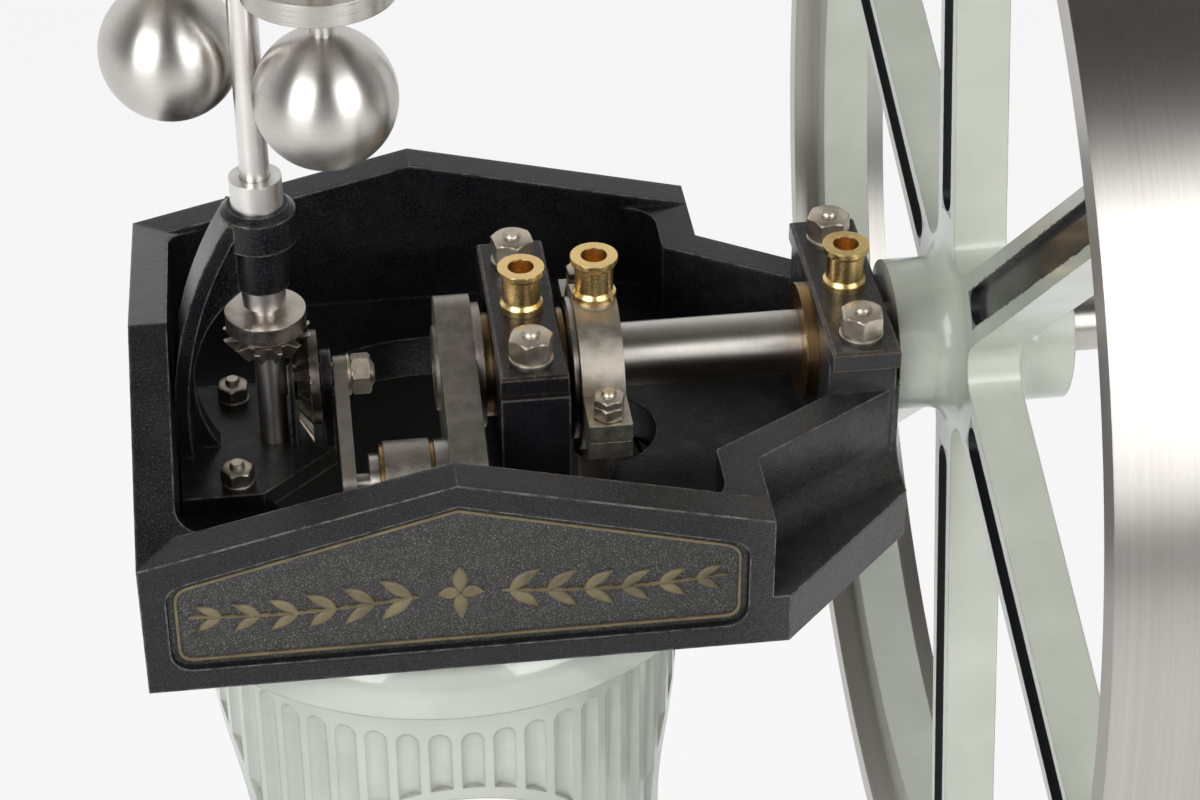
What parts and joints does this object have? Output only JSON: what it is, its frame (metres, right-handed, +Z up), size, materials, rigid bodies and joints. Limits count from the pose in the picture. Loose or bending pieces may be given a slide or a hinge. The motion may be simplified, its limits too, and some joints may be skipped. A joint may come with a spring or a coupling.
{
  "type": "model vertical column steam engine",
  "caption": "Model steam engine: gabled crank box on an arched round column over an upright cylinder, with an overhung spoked flywheel, an eccentric and a gear-driven fly-ball governor.",
  "frame": {"origin": "on the floor, in the middle of the base plate's underside, under the column's axis", "axes": "+Z up; +X along the crankshaft towards the flywheel; -Y is the front"},
  "size_m": [0.1806, 0.2124, 0.3712],
  "materials": {
    "black_enamel": "black enamel on a sand-cast surface, worn at the edges",
    "green_paint": "glossy grey-green paint",
    "wheel_paint": "grey-green paint with a turned bright rim",
    "bronze": "turned bronze",
    "brass": "polished brass",
    "gear_steel": "oiled steel",
    "bright_steel": "machined steel",
    "ball_steel": "turned bright steel",
    "dark_iron": "dark brown iron"
  },
  "bodies": {
    "engine_frame": {"base_plate": "green_paint", "cylinder": "green_paint", "cylinder_cover": "bright_steel", "valve_chest": "green_paint", "chest_cover": "green_paint", "column": "green_paint", "crank_box": "black_enamel", "centre_bearing_cap": "black_enamel", "outer_bearing_cap": "black_enamel", "centre_bearing_bush": "bronze", "outer_bearing_bush": "bronze", "centre_oil_cup": "brass", "outer_oil_cup": "brass", "governor_bracket": "black_enamel", "spindle_bush": "bright_steel", "crosshead": "bright_steel", "piston_rod": "bright_steel", "valve_rod": "bright_steel"},
    "crank": {"crankshaft": "bright_steel", "crank_web": "bright_steel", "crankpin": "bright_steel", "eccentric_sheave": "bright_steel", "flywheel": "wheel_paint", "drag_lever": "bright_steel", "lever_shaft": "bright_steel", "drive_bevel_gear": "gear_steel"},
    "rod": {"connecting_rod": "bright_steel", "big_end_strap": "bright_steel", "big_end_brasses": "bronze", "wrist_pin": "bright_steel"},
    "eccentric": {"eccentric_strap_upper": "bright_steel", "eccentric_strap_lower": "bright_steel", "eccentric_rod": "bright_steel", "eccentric_oil_cup": "brass", "valve_pin": "bright_steel"},
    "governor": {"governor_spindle": "gear_steel", "governor_pinion": "gear_steel", "governor_head": "black_enamel", "governor_cap": "gear_steel"},
    "near_ball_arm": {"near_arm": "bright_steel", "near_ball": "ball_steel", "near_dish": "dark_iron"},
    "far_ball_arm": {"far_arm": "bright_steel", "far_ball": "ball_steel", "far_dish": "dark_iron"}
  },
  "joints": [
    {"name": "crank_turn", "type": "hinge", "parent": "engine_frame", "child": "crank", "pos_m": [0, 0, 0.265], "axis": [1, 0, 0], "continuous": true},
    {"name": "rod_turn", "type": "hinge", "parent": "crank", "child": "rod", "pos_m": [-0.00525, -0.01778, 0.25817], "axis": [1, 0, 0], "continuous": true},
    {"name": "eccentric_turn", "type": "hinge", "parent": "crank", "child": "eccentric", "pos_m": [0.0234, -0.00315, 0.26556], "axis": [1, 0, 0], "continuous": true},
    {"name": "governor_turn", "type": "hinge", "parent": "engine_frame", "child": "governor", "pos_m": [-0.0236, 0, 0.265], "axis": [0, 0, 1], "continuous": true},
    {"name": "near_ball_swing", "type": "hinge", "parent": "governor", "child": "near_ball_arm", "pos_m": [-0.01336, -0.008, 0.357], "axis": [-0.6157, -0.788, 0], "range_deg": [0, 35]},
    {"name": "far_ball_swing", "type": "hinge", "parent": "governor", "child": "far_ball_arm", "pos_m": [-0.03384, 0.008, 0.357], "axis": [0.6157, 0.788, 0], "range_deg": [0, 35]}
  ],
  "couplings": [
    {"joint": "rod_turn", "follows": "crank_turn", "ratio": -1},
    {"joint": "eccentric_turn", "follows": "crank_turn", "ratio": -1},
    {"joint": "governor_turn", "follows": "crank_turn", "ratio": -1.5},
    {"joint": "far_ball_swing", "follows": "near_ball_swing", "ratio": 1}
  ]
}
